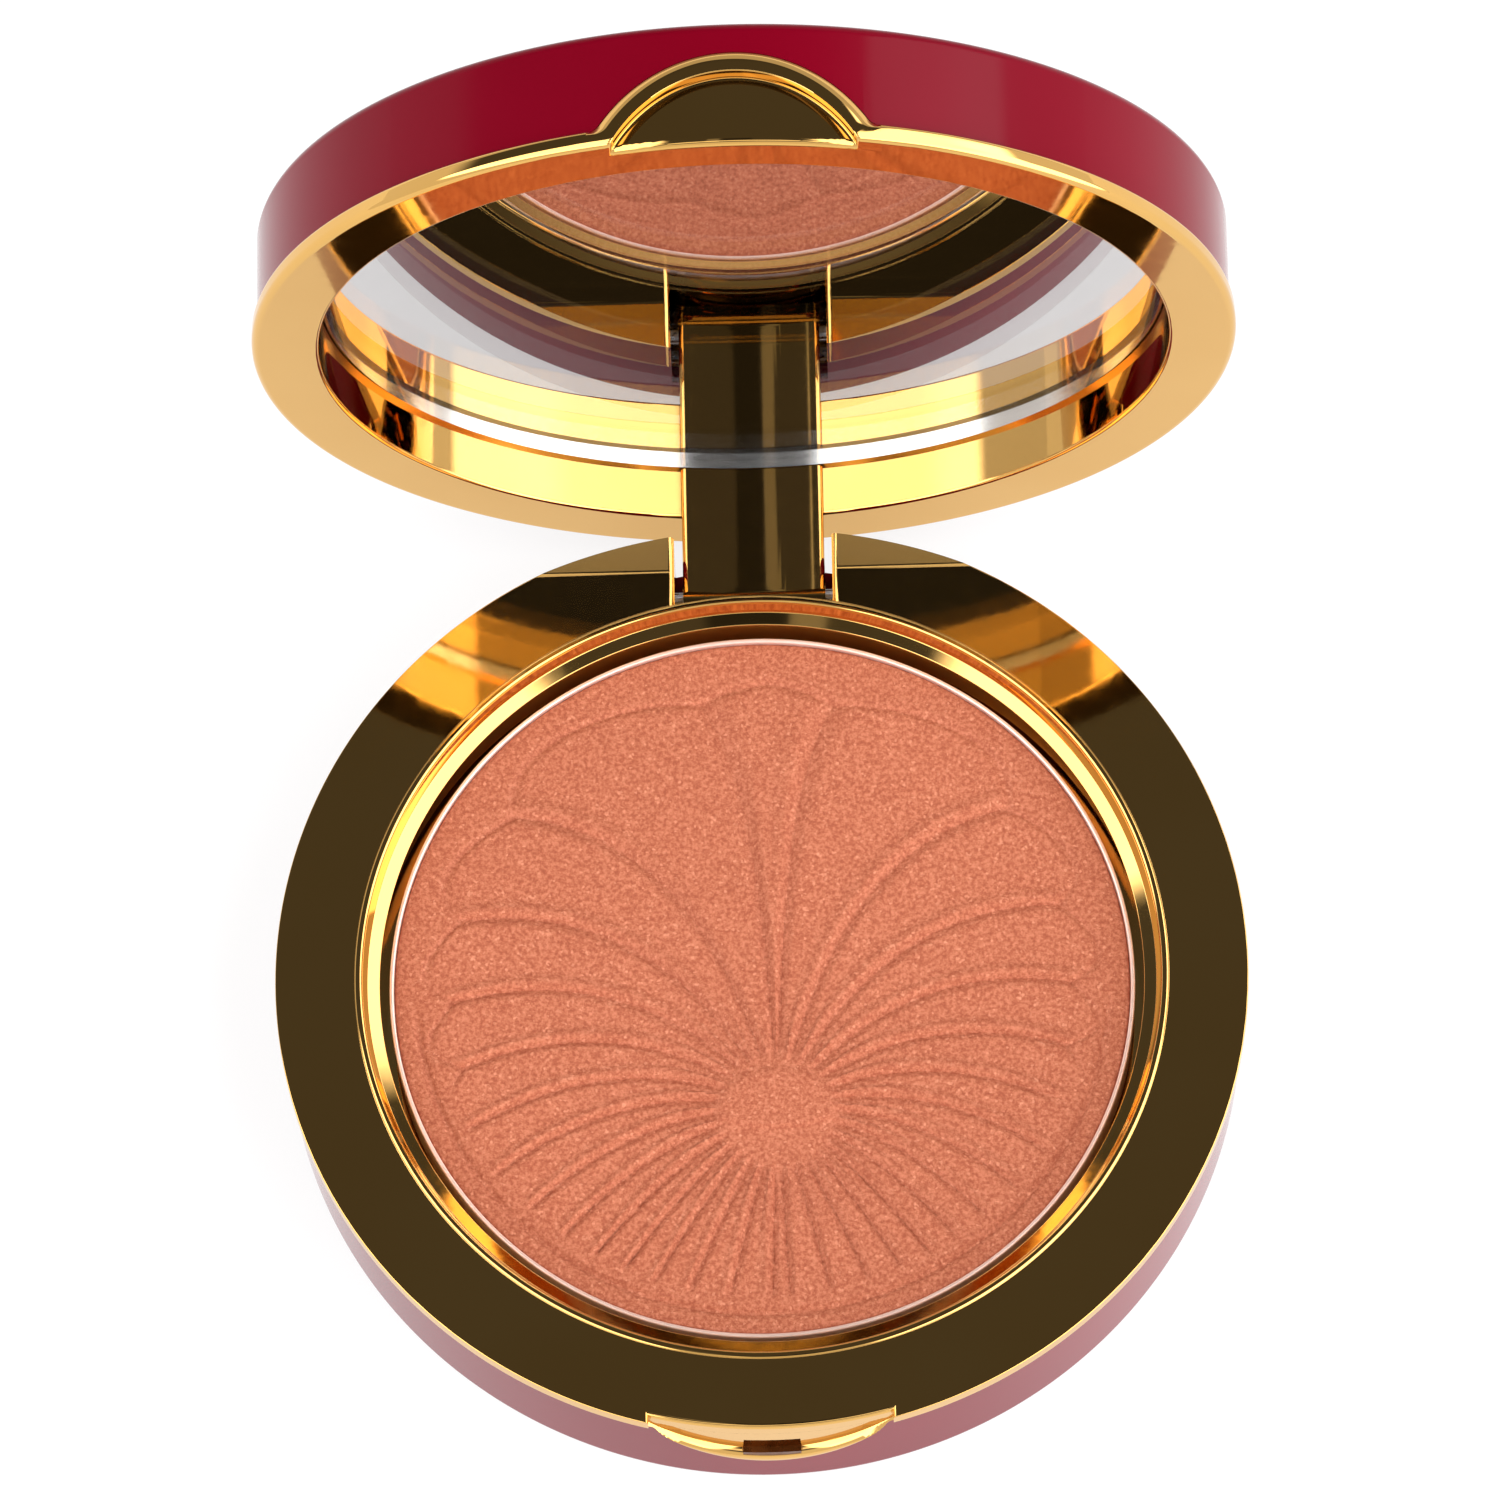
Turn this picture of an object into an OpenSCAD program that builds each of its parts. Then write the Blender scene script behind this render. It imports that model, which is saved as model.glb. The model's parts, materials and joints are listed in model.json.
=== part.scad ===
// Round hinged powder compact, shown open with its lid standing against its stop.
// Origin: centre of the base's flat underside. The thumb scoop faces -Y, the hinge is at +Y, +Z is up.

/* [Case] */
// Outer radius of the gold rims
case_r = 38; // [37:0.25:40]
// Height of the base, from the underside to its rim plane
base_h = 12; // [11.8:0.1:13]
// Height of the lid above its rim plane
lid_h = 9.8; // [9.6:0.1:11]
// Gap between the two rims when the lid is closed
rim_gap = 0.2; // [0.15:0.05:0.3]
// Thickness of each gold rim
rim_t = 1.5; // [1.4:0.05:1.7]
// How far each rim stands proud of the lacquered shell
rim_lip = 0.44; // [0.3:0.02:0.6]
// Wall thickness of the lacquered shells
shell_wall = 1.3; // [1.1:0.05:1.4]
// Rounding of each shell's outer edge
shell_round = 1; // [0.6:0.1:1.2]
// How far the lid is open
lid_open = 91; // [0:1:91]

/* [Powder well] */
// Inner radius of the powder well
well_r = 29.75; // [29.5:0.05:30]
// Radius of the pan's outside
pan_r = 29.2; // [28:0.1:29.3]
// How far the pan's edge lies below the rim plane
pan_drop = 2.6; // [2.2:0.1:3]
// Height of the pan
pan_h = 4.3; // [3.5:0.1:4.5]
// Sheet thickness of the pan
pan_t = 0.4; // [0.3:0.05:0.5]
// How far the powder lies below the pan's edge
powder_drop = 0.15; // [0.1:0.05:0.4]

/* [Hinge] */
// Distance from the case's centre to the hinge axis
hinge_y = 34; // [33.95:0.05:34.2]
// Depth of the hinge axis below the base's rim plane
hinge_drop = 6.45; // [6.3:0.05:6.6]
// Width of the lid's hinge tongue
tongue_w = 11.3; // [10:0.1:11.5]
// Gap on each side of the tongue
tongue_gap = 0.6; // [0.3:0.05:0.7]
// Radius of the tongue's rolled end
knuckle_r = 1.8; // [1.6:0.05:1.85]
// Radius of the hinge pin
pin_r = 0.75; // [0.5:0.05:0.8]
// Radial clearance between the pin and the tongue
pin_fit = 0.05; // [0.02:0.01:0.08]

/* [Thumb recess] */
// Half width of the scoop in the base, at the rim plane
scoop_half_w = 10.2; // [9.8:0.1:10.5]
// Depth of the scoop in the base, below the rim plane
scoop_drop = 6.5; // [6.2:0.1:6.8]
// Half width of the plate in the lid, at the rim plane
plate_half_w = 11.2; // [10.8:0.1:11.4]
// Height of the plate in the lid, above the rim plane
plate_rise = 7.1; // [6.6:0.1:7.2]
// Radius of the recessed field in the base's scoop
scoop_field_r = 37.4; // [37.2:0.05:37.5]
// Radius of the recessed field in the lid's plate
field_r = 36.7; // [36.6:0.05:36.8]

/* [Mirror] */
// Radius of the lid's opening
mouth_r = 32.8; // [32.7:0.05:33]
// Depth of the mirror's face below the lid's rim plane
mirror_drop = 4.15; // [4.1:0.05:4.4]
// Thickness of the mirror glass
mirror_t = 2.5; // [1.8:0.1:2.6]
// Width of the mirror's bevelled edge
bevel_w = 0.4; // [0.2:0.1:1.5]

/* [Hidden] */
$fn = 160;

gold = [0.86, 0.66, 0.27];
lacquer = [0.62, 0.05, 0.12];
// How far a cutting shape runs past what it cuts
over = 1;

// Shells
shell_r = case_r - rim_lip;
shell_in_r = shell_r - shell_wall;
floor_t = 1.2;
base_shell_top = base_h - rim_t;
lid_rim_z = base_h + rim_gap;
lid_shell_z = lid_rim_z + rim_t;
lid_top_z = lid_rim_z + lid_h;
lid_roof_z = lid_top_z - shell_wall;
rim_round = 0.3;

// Spigot rings that locate the shells on the frames
spigot_fit = 0.1;
spigot_r = shell_in_r - spigot_fit;
spigot_t = 1.1;
base_spigot_h = 3.5;
lid_spigot_h = 3;
// Wall of the lid frame's mirror cup
lid_cup_t = 1.2;

// Powder well
well_out_r = 31.8;
bead_r = 0.25;
bead_rise = 0.12;
ledge_r = 30.7;
ledge_drop = 1.2;
ledge_slope = 0.3;
pan_top_z = base_h - pan_drop;
pan_z = pan_top_z - pan_h;
glue_t = 0.3;
glue_r = 22;
well_floor_z = pan_z - glue_t;
well_floor_t = 1;

// Hinge
hinge_z = base_h - hinge_drop;
notch_w = tongue_w + 2 * tongue_gap;
knuckle_gap = 0.4;
notch_floor_z = hinge_z - knuckle_r - knuckle_gap;
cheek_t = 3;
pin_len = notch_w + 2 * cheek_t;
cheek_z = floor_t + 0.1;
pad_t = 0.5;
tongue_in_r = mouth_r - pad_t;
relief_drop = 1.3;
relief_angle = atan(relief_drop / (case_r - hinge_y));

// Thumb recess
recess_half_w = 9.45;
lip_w = 1;
border_w = 1.7;
insert_fit = 0.05;
insert_in_r = spigot_r + insert_fit;
// Depth of the shapes that outline the recess, from in front of the case
recess_reach = 12;
catch_w = 4.5;
catch_h = 1.1;
catch_drop = 5.65;
catch_z = base_h - catch_drop;
catch_depth = 3;
catch_proud = 0.5;

// Mirror
mirror_fit = 0.2;
mirror_r = mouth_r - mirror_fit;
bevel_d = 0.4;
mirror_z = lid_rim_z + mirror_drop;
tape_t = 0.3;
tape_r = 28;
seat_z = mirror_z + mirror_t + tape_t;

// Points of a circular arc
function arc(x, y, r, from, to, steps = 6) =
    [for (i = [0 : steps]) let (a = from + (to - from) * i / steps) [x + r * cos(a), y + r * sin(a)]];

// Radius and centre height of the circle whose segment has this half width and rise
function segment_r(half_w, rise) = (half_w * half_w + rise * rise) / (2 * rise);

// A round cup standing on z = 0 with a rounded outer edge, open at the top
module cup(height, base_t) {
    rotate_extrude()
        polygon(concat(
            [[0, 0]],
            arc(shell_r - shell_round, shell_round, shell_round, -90, 0),
            [[shell_r, height], [shell_in_r, height], [shell_in_r, base_t], [0, base_t]]));
}

// A rod across the case wall, used to outline both halves of the thumb recess
module front_disc(z, r) {
    translate([0, -case_r - over, z])
        rotate([-90, 0, 0])
            cylinder(r = r, h = recess_reach);
}

// The stretch of a tube wall between two radii
module ring(r_out, r_in, z, h) {
    translate([0, 0, z])
        difference() {
            cylinder(r = r_out, h = h);
            translate([0, 0, -over])
                cylinder(r = r_in, h = h + 2 * over);
        }
}

// Swings what belongs to the lid from closed to its open angle
module on_lid() {
    translate([0, hinge_y, hinge_z])
        rotate([-lid_open, 0, 0])
            translate([0, -hinge_y, -hinge_z])
                children();
}

// Outline of the scoop below the base's rim, grown by an allowance
module scoop_outline(grow) {
    r = segment_r(scoop_half_w, scoop_drop);
    front_disc(base_h - scoop_drop + r, r + grow);
}

// Outline of the plate above the lid's rim, grown by an allowance
module plate_outline(grow) {
    r = segment_r(plate_half_w, plate_rise);
    front_disc(lid_rim_z + plate_rise - r, r + grow);
}

// Room for the lid's tongue at the back of the base, over a range of height
module hinge_notch(from_z, front_r) {
    difference() {
        translate([-notch_w / 2, 0, from_z])
            cube([notch_w, case_r + over, base_h + over]);
        cylinder(r = front_r, h = base_h + 2 * over);
    }
}

module base_shell() {
    color(lacquer)
        difference() {
            cup(base_shell_top, floor_t);
            hinge_notch(notch_floor_z, well_out_r);
            scoop_outline(insert_fit);
        }
}

// Rim, bead, step, well and spigot in one turned outline
module base_frame_turning() {
    bead_mid = well_out_r - bead_r;
    bead_z = base_h + bead_rise - bead_r;
    rotate_extrude()
        polygon(concat(
            [[0, well_floor_z], [0, well_floor_z - well_floor_t], [well_out_r, well_floor_z - well_floor_t],
             [well_out_r, base_shell_top], [spigot_r - spigot_t, base_shell_top],
             [spigot_r - spigot_t, base_shell_top - base_spigot_h],
             [spigot_r, base_shell_top - base_spigot_h], [spigot_r, base_shell_top]],
            arc(case_r - rim_round, base_shell_top + rim_round, rim_round, -90, 0, 4),
            arc(case_r - rim_round, base_h - rim_round, rim_round, 0, 90, 4),
            [[well_out_r, base_h]],
            arc(bead_mid, bead_z, bead_r, 30, 180, 6),
            [[ledge_r, base_h - ledge_drop], [well_r, base_h - ledge_drop - ledge_slope],
             [well_r, well_floor_z]]));
}

// Solid block behind the well that carries the hinge pin
module hinge_cheeks() {
    difference() {
        intersection() {
            cylinder(r = spigot_r, h = base_shell_top);
            translate([-pin_len / 2, 0, cheek_z])
                cube([pin_len, case_r, base_shell_top]);
        }
        translate([0, 0, -over])
            cylinder(r = (well_r + well_out_r) / 2, h = base_h + 2 * over);
    }
}

module base_frame() {
    color(gold)
        difference() {
            union() {
                base_frame_turning();
                hinge_cheeks();
            }
            hinge_notch(notch_floor_z, well_out_r);
            // slope behind the hinge axis that lets the lid's rim swing down
            translate([0, hinge_y, base_h])
                rotate([-relief_angle, 0, 0])
                    translate([-case_r, 0, 0])
                        cube([2 * case_r, case_r, base_h]);
            // rim cut back above the scoop
            difference() {
                translate([-recess_half_w, -case_r - over, base_shell_top - over])
                    cube([2 * recess_half_w, case_r, rim_t + 2 * over]);
                cylinder(r = scoop_field_r, h = base_h + 2 * over);
            }
            // pin bore through both cheeks
            translate([-pin_len, hinge_y, hinge_z])
                rotate([0, 90, 0])
                    cylinder(r = pin_r, h = 2 * pin_len);
            // pocket for the latch catch
            translate([-catch_w / 2, -case_r, catch_z])
                cube([catch_w, catch_depth, catch_h]);
        }
}

module base_thumb_scoop() {
    color(gold)
        difference() {
            intersection() {
                ring(case_r, insert_in_r, base_h - scoop_drop, scoop_drop - rim_t);
                scoop_outline(0);
            }
            // recessed field inside the lip
            difference() {
                intersection() {
                    cylinder(r = case_r + over, h = base_h);
                    scoop_outline(-lip_w);
                }
                cylinder(r = scoop_field_r, h = base_h);
            }
            translate([-catch_w / 2, -case_r, catch_z])
                cube([catch_w, catch_depth, catch_h]);
        }
}

module latch_catch() {
    color([0.32, 0.18, 0.06])
        intersection() {
            translate([-catch_w / 2, -case_r, catch_z])
                cube([catch_w, catch_depth, catch_h]);
            cylinder(r = scoop_field_r + catch_proud, h = base_h);
        }
}

module powder_pan() {
    color([0.85, 0.85, 0.86])
        translate([0, 0, pan_z])
            rotate_extrude()
                polygon(concat(
                    [[0, 0]],
                    arc(pan_r - 0.6, 0.6, 0.6, -90, 0, 4),
                    [[pan_r, pan_h], [pan_r - pan_t, pan_h], [pan_r - pan_t, pan_t], [0, pan_t]]));
}

module pressed_powder() {
    color([0.85, 0.5, 0.4])
        translate([0, 0, pan_z + pan_t])
            cylinder(r = pan_r - pan_t, h = pan_h - pan_t - powder_drop);
}

module pan_adhesive() {
    color([0.9, 0.9, 0.8])
        translate([0, 0, well_floor_z])
            cylinder(r = glue_r, h = glue_t);
}

module hinge_pin() {
    color([0.7, 0.7, 0.72])
        translate([-pin_len / 2, hinge_y, hinge_z])
            rotate([0, 90, 0])
                cylinder(r = pin_r, h = pin_len);
}

module lid_shell() {
    color(lacquer)
        on_lid()
            difference() {
                translate([0, 0, lid_top_z])
                    mirror([0, 0, 1])
                        cup(lid_top_z - lid_shell_z, shell_wall);
                plate_outline(insert_fit);
            }
}

// Rim, inner wall, mirror seat and spigot in one turned outline
module lid_frame_turning() {
    rotate_extrude()
        polygon(concat(
            [[0, seat_z], [mouth_r, seat_z], [mouth_r, lid_rim_z + rim_round]],
            arc(mouth_r + rim_round, lid_rim_z + rim_round, rim_round, 180, 270, 4),
            arc(case_r - rim_round, lid_rim_z + rim_round, rim_round, -90, 0, 4),
            arc(case_r - rim_round, lid_shell_z - rim_round, rim_round, 0, 90, 4),
            [[spigot_r, lid_shell_z], [spigot_r, lid_shell_z + lid_spigot_h],
             [spigot_r - spigot_t, lid_shell_z + lid_spigot_h], [spigot_r - spigot_t, lid_shell_z],
             [mouth_r + lid_cup_t, lid_shell_z], [mouth_r + lid_cup_t, lid_roof_z], [0, lid_roof_z]]));
}

// Tongue that hangs from the lid's rim into the base, with a rolled end around the pin
module hinge_tongue() {
    front_y = hinge_y - knuckle_r - over;
    difference() {
        union() {
            translate([-tongue_w / 2, front_y, hinge_z])
                cube([tongue_w, hinge_y + knuckle_r - front_y, lid_shell_z - hinge_z]);
            intersection() {
                translate([-tongue_w / 2, front_y, lid_rim_z])
                    cube([tongue_w, 2 * knuckle_r, mirror_drop]);
                cylinder(r = mouth_r + lid_cup_t / 2, h = lid_top_z);
            }
            translate([-tongue_w / 2, hinge_y, hinge_z])
                rotate([0, 90, 0])
                    cylinder(r = knuckle_r, h = tongue_w);
        }
        translate([0, 0, hinge_z])
            cylinder(r = tongue_in_r, h = lid_top_z);
    }
}

module lid_frame() {
    color(gold)
        on_lid()
            difference() {
                union() {
                    lid_frame_turning();
                    hinge_tongue();
                }
                translate([-tongue_w, hinge_y, hinge_z])
                    rotate([0, 90, 0])
                        cylinder(r = pin_r + pin_fit, h = 2 * tongue_w);
                // rim cut back behind the thumb plate
                intersection() {
                    difference() {
                        translate([0, 0, lid_rim_z - over])
                            cylinder(r = case_r + over, h = lid_h);
                        cylinder(r = insert_in_r, h = lid_top_z);
                    }
                    plate_outline(insert_fit);
                }
            }
}

module lid_thumb_plate() {
    color(gold)
        on_lid()
            difference() {
                intersection() {
                    ring(case_r, insert_in_r + insert_fit, lid_rim_z, plate_rise);
                    plate_outline(0);
                }
                // recessed field inside the border
                difference() {
                    intersection() {
                        cylinder(r = case_r + over, h = lid_top_z);
                        plate_outline(-border_w);
                    }
                    cylinder(r = field_r, h = lid_top_z);
                }
            }
}

module mirror_glass() {
    color([0.8, 0.85, 0.88])
        on_lid()
            rotate_extrude()
                polygon([[0, mirror_z], [mirror_r - bevel_w, mirror_z], [mirror_r, mirror_z + bevel_d],
                         [mirror_r, mirror_z + mirror_t], [0, mirror_z + mirror_t]]);
}

module mirror_adhesive() {
    color([0.3, 0.3, 0.32])
        on_lid()
            translate([0, 0, mirror_z + mirror_t])
                cylinder(r = tape_r, h = tape_t);
}

base_shell();
base_frame();
base_thumb_scoop();
latch_catch();
powder_pan();
pressed_powder();
pan_adhesive();
hinge_pin();
lid_shell();
lid_frame();
lid_thumb_plate();
mirror_glass();  // mirror
mirror_adhesive();
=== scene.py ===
"""Looks of a round powder compact that stands open on a pale studio floor.

Shapes are worked out in millimetres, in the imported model's frame, and turned into metres as each
mesh is made. The lid's pieces are built shut and then swung open about the hinge, which is how
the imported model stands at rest.
"""

import json
import math

import bmesh
import bpy
import numpy as np
from mathutils import Matrix, Vector


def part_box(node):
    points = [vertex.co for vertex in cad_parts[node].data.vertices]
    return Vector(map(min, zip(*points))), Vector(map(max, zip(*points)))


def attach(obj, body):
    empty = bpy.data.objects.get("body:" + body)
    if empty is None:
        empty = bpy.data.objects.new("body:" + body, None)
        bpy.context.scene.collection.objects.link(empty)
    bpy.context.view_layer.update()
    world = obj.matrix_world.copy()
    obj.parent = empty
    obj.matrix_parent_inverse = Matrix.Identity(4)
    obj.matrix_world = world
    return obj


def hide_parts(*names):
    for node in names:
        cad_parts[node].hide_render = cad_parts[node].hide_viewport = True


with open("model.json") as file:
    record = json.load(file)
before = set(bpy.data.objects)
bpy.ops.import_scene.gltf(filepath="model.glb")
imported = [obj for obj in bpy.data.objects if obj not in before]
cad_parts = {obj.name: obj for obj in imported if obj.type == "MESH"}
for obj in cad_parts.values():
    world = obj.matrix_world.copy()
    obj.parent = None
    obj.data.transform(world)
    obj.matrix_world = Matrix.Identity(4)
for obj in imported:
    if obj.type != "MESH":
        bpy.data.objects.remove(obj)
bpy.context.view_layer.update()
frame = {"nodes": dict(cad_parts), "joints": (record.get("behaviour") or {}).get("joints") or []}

MM = 0.001

# --- The hinge, which opens the lid ---------------------------------------------------------

HINGE = frame["joints"][0]
AXIS_Y = HINGE["pos_m"][1] / MM
AXIS_Z = HINGE["pos_m"][2] / MM
OPEN_ANGLE = math.radians(HINGE["range_deg"][1])
TO_AXIS = Matrix.Translation((0, AXIS_Y, AXIS_Z))
OPENED = TO_AXIS @ Matrix.Rotation(-OPEN_ANGLE, 4, "X") @ TO_AXIS.inverted()


def box(node):
    """Lowest and highest corner of a CAD node at rest, in millimetres."""
    low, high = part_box(node)
    return low / MM, high / MM


def shut_box(node):
    """The same for one of the lid's nodes, with the lid shut."""
    shut = OPENED.inverted()
    points = np.array([shut @ (v.co / MM) for v in frame["nodes"][node].data.vertices])
    return Vector(points.min(0)), Vector(points.max(0))


# --- Sizes, in millimetres ------------------------------------------------------------------

# The case
RIM_T = 1.5
CASE_R = box("base_frame")[1].x
SHELL_R = box("base_shell")[1].x
SEAM_Z = box("base_shell")[1].z
BASE_H = SEAM_Z + RIM_T
SHELL_WALL = 1.3
SHELL_ROUND = 1.0
SHELL_FLOOR = 1.2
FIELD_R = 36.7
SCOOP_FIELD_R = 37.4
INSERT_IN_R = SHELL_R - SHELL_WALL - 0.05

# The pan and its powder
PAN_R = box("powder_pan")[1].x
PAN_LOW = box("powder_pan")[0].z
PAN_TOP = box("powder_pan")[1].z
PAN_T = 0.36
POWDER_LOW = box("pressed_powder")[0].z
POWDER_TOP = box("pressed_powder")[1].z
POWDER_R = box("pressed_powder")[1].x

# The well that the pan sits in
WELL_OUT_R = 31.8
WELL_R = PAN_R + 0.68
LEDGE_R = 30.85
LEDGE_Z = BASE_H - 1.2
LEDGE_SLOPE = 0.3
WELL_FLOOR_Z = box("pan_adhesive")[0].z
WELL_FLOOR_T = 1.0

# The lid and its mirror, shut
LID_RIM_Z = shut_box("lid_thumb_plate")[0].z
LID_SEAM_Z = shut_box("lid_shell")[0].z
LID_TOP_Z = shut_box("lid_shell")[1].z
GLASS_R = shut_box("mirror")[1].x
GLASS_Z = shut_box("mirror")[0].z
GLASS_BACK_Z = shut_box("mirror")[1].z - 0.02
GLASS_BEVEL = 0.4
MOUTH_R = GLASS_R + 0.2
# The glass is drawn a little wider than its CAD node, so that no gap shows round it
GLASS_SEEN_R = MOUTH_R - 0.07
# Rounding of the rim's outer edge, on its face and at the seam
LID_RIM_ROUND = (0.55, 0.4)
SEAT_Z = shut_box("mirror_adhesive")[1].z
LID_CUP_R = MOUTH_R + 1.2

# The hinge, and the spigots that hold the shells
TONGUE_HALF_W = 5.65
TONGUE_IN_R = 32.3
KNUCKLE_R = AXIS_Z - shut_box("lid_frame")[0].z
NOTCH_HALF_W = 6.25
NOTCH_FLOOR_Z = AXIS_Z - KNUCKLE_R - 0.4
PIN_R = box("hinge_pin")[1].z - AXIS_Z
PIN_HALF_L = box("hinge_pin")[1].x
RELIEF_SLOPE = 1.3 / (CASE_R - AXIS_Y)
SCOOP_CUT_HALF_W = 9.45
SPIGOT_R = SHELL_R - SHELL_WALL - 0.1
SPIGOT_T = 1.1
SPIGOT_H = 3.0

SEGMENTS = 288
# How far a cutter reaches past what it cuts
OVER = 1.0
# Lifts a rounded cut that would run out exactly in the face that it cuts
LIFT = 0.003


# --- Mesh tools -----------------------------------------------------------------------------


def mesh_object(name, points, faces):
    """A mesh object from points in millimetres, with its faces turned outwards."""
    mesh = bpy.data.meshes.new(name)
    mesh.from_pydata([tuple(p) for p in np.asarray(points) * MM], [], [list(f) for f in faces])
    bm = bmesh.new()
    bm.from_mesh(mesh)
    bmesh.ops.remove_doubles(bm, verts=bm.verts, dist=1e-4 * MM)
    bmesh.ops.dissolve_degenerate(bm, edges=bm.edges, dist=1e-4 * MM)
    loose = [e for e in bm.edges if not e.link_faces]
    bmesh.ops.delete(bm, geom=loose, context="EDGES")
    bmesh.ops.recalc_face_normals(bm, faces=bm.faces)
    if bm.calc_volume(signed=True) < 0:
        bmesh.ops.reverse_faces(bm, faces=bm.faces)
    bm.to_mesh(mesh)
    bm.free()
    obj = bpy.data.objects.new(name, mesh)
    bpy.context.scene.collection.objects.link(obj)
    return obj


def grid_faces(rows, columns, wrap=False):
    """Quads between neighbouring rows and columns of a grid of points."""
    last = columns if wrap else columns - 1
    return [
        (r * columns + c, r * columns + (c + 1) % columns,
         (r + 1) * columns + (c + 1) % columns, (r + 1) * columns + c)
        for r in range(rows - 1)
        for c in range(last)
    ]


def grid_border(rows, columns):
    """The points round the border of a grid, in order."""
    border = list(range(columns)) + [r * columns + columns - 1 for r in range(1, rows)]
    border += [(rows - 1) * columns + c for c in range(columns - 2, -1, -1)]
    return border + [r * columns for r in range(rows - 2, 0, -1)]


def rounded(corners, steps=6, closed=True):
    """An outline through (x, y) or (x, y, radius) corners, with an arc at each that has a radius."""
    points = []
    count = len(corners)
    for i, corner in enumerate(corners):
        here = np.array(corner[:2], float)
        radius = corner[2] if len(corner) > 2 else 0
        at_end = not closed and i in (0, count - 1)
        if radius == 0 or at_end:
            points.append(here)
            continue
        back = np.array(corners[i - 1][:2], float) - here
        ahead = np.array(corners[(i + 1) % count][:2], float) - here
        back /= np.linalg.norm(back)
        ahead /= np.linalg.norm(ahead)
        half = math.acos(np.clip(back @ ahead, -1, 1)) / 2
        middle = (back + ahead) / np.linalg.norm(back + ahead)
        centre = here + middle * radius / math.sin(half)
        start = here + back * radius / math.tan(half) - centre
        end = here + ahead * radius / math.tan(half) - centre
        sweep = math.pi - 2 * half
        for k in range(steps + 1):
            a = sweep * k / steps
            points.append(centre + (start * math.sin(sweep - a) + end * math.sin(a)) / math.sin(sweep))
    return np.array(points)


def lathe(name, outline, segments=SEGMENTS):
    """Turns a closed outline of (radius, height) about the Z axis."""
    turn = np.linspace(0, 2 * math.pi, segments, endpoint=False)
    rows = [
        np.column_stack([r * np.cos(turn), r * np.sin(turn), np.full(segments, z)])
        for r, z in [*outline, outline[0]]
    ]
    return mesh_object(name, np.concatenate(rows), grid_faces(len(rows), segments, wrap=True))


def extrude(name, outline, low, high, axis):
    """A prism of an outline along one axis. The outline's own axes are the other two, in order."""
    others = [i for i in range(3) if i != axis]
    count = len(outline)
    points = np.zeros((2 * count, 3))
    for end, where in enumerate((low, high)):
        face = points[end * count : (end + 1) * count]
        face[:, others] = outline
        face[:, axis] = where
    sides = [(i, (i + 1) % count, count + (i + 1) % count, count + i) for i in range(count)]
    return mesh_object(name, points, [range(count), range(count, 2 * count), *sides])


def block(name, low, high):
    """A plain box between two corners, for cutting and joining."""
    outline = [(low[0], low[1]), (high[0], low[1]), (high[0], high[1]), (low[0], high[1])]
    return extrude(name, np.array(outline, float), low[2], high[2], 2)


def drum(name, radius, low, high):
    """A plain cylinder about the Z axis, for cutting and joining."""
    return lathe(name, [(0, low), (radius, low), (radius, high), (0, high)])


def rounded_side(start, spread, top):
    """The upper part of a cut's side, which spreads out from start as it rounds into a face."""
    turn = np.radians(np.arange(0, 91, 15))
    across = start + spread * (1 - np.cos(turn))
    return [*zip(across, top + LIFT - abs(spread) * (1 - np.sin(turn))), (start + spread, top + OVER)]


def slot_cutter(name, half_w, edge, low, stations):
    """A slot along Y that rounds the edges of the face it cuts, given as (y, height of the face)."""
    rows = []
    for y, top in stations:
        side = [(half_w, low), *rounded_side(half_w, edge, top)]
        section = side + [(-x, z) for x, z in side[::-1]]
        rows.append([(x, y, z) for x, z in section])
    count = len(rows[0])
    last = (len(rows) - 1) * count
    faces = [*grid_faces(len(rows), count, wrap=True), range(count), range(last, last + count)]
    return mesh_object(name, np.concatenate(rows), faces)


def bake(obj):
    """Applies the object's modifiers."""
    graph = bpy.context.evaluated_depsgraph_get()
    old = obj.data
    obj.data = bpy.data.meshes.new_from_object(obj.evaluated_get(graph))
    obj.modifiers.clear()
    bpy.data.meshes.remove(old)
    obj.data.name = obj.name


def carve(obj, tool, operation="DIFFERENCE"):
    """Cuts the tool out of the object, or joins it on, and removes the tool."""
    modifier = obj.modifiers.new("carve", "BOOLEAN")
    modifier.object = tool
    modifier.operation = operation
    modifier.solver = "EXACT"
    bake(obj)
    bpy.data.objects.remove(tool)
    return obj


def merge_flats(obj, angle=0.3):
    """Joins neighbouring faces that lie in one plane."""
    bm = bmesh.new()
    bm.from_mesh(obj.data)
    bmesh.ops.remove_doubles(bm, verts=bm.verts, dist=1e-3 * MM)
    bmesh.ops.dissolve_limit(bm, angle_limit=math.radians(angle), verts=bm.verts, edges=bm.edges)
    bm.to_mesh(obj.data)
    bm.free()


def shade(obj, angle=40):
    """Smooth shading, with flat faces kept flat and sharp edges kept sharp."""
    obj.data.polygons.foreach_set("use_smooth", [True] * len(obj.data.polygons))
    obj.data.set_sharp_from_angle(angle=math.radians(angle))
    normals = obj.modifiers.new("normals", "WEIGHTED_NORMAL")
    normals.mode = "FACE_AREA"
    normals.keep_sharp = True


def place(obj, body, materials, nodes):
    """Gives a finished piece its materials and its body, and hides the CAD nodes that it stands for.
    """
    if body == "lid":
        scaled = Matrix.Diagonal((MM, MM, MM, 1))
        obj.data.transform(scaled @ OPENED @ scaled.inverted())
    for material in materials:
        obj.data.materials.append(material)
    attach(obj, body)
    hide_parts(*nodes)
    return obj


# --- Node tools -----------------------------------------------------------------------------


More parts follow.
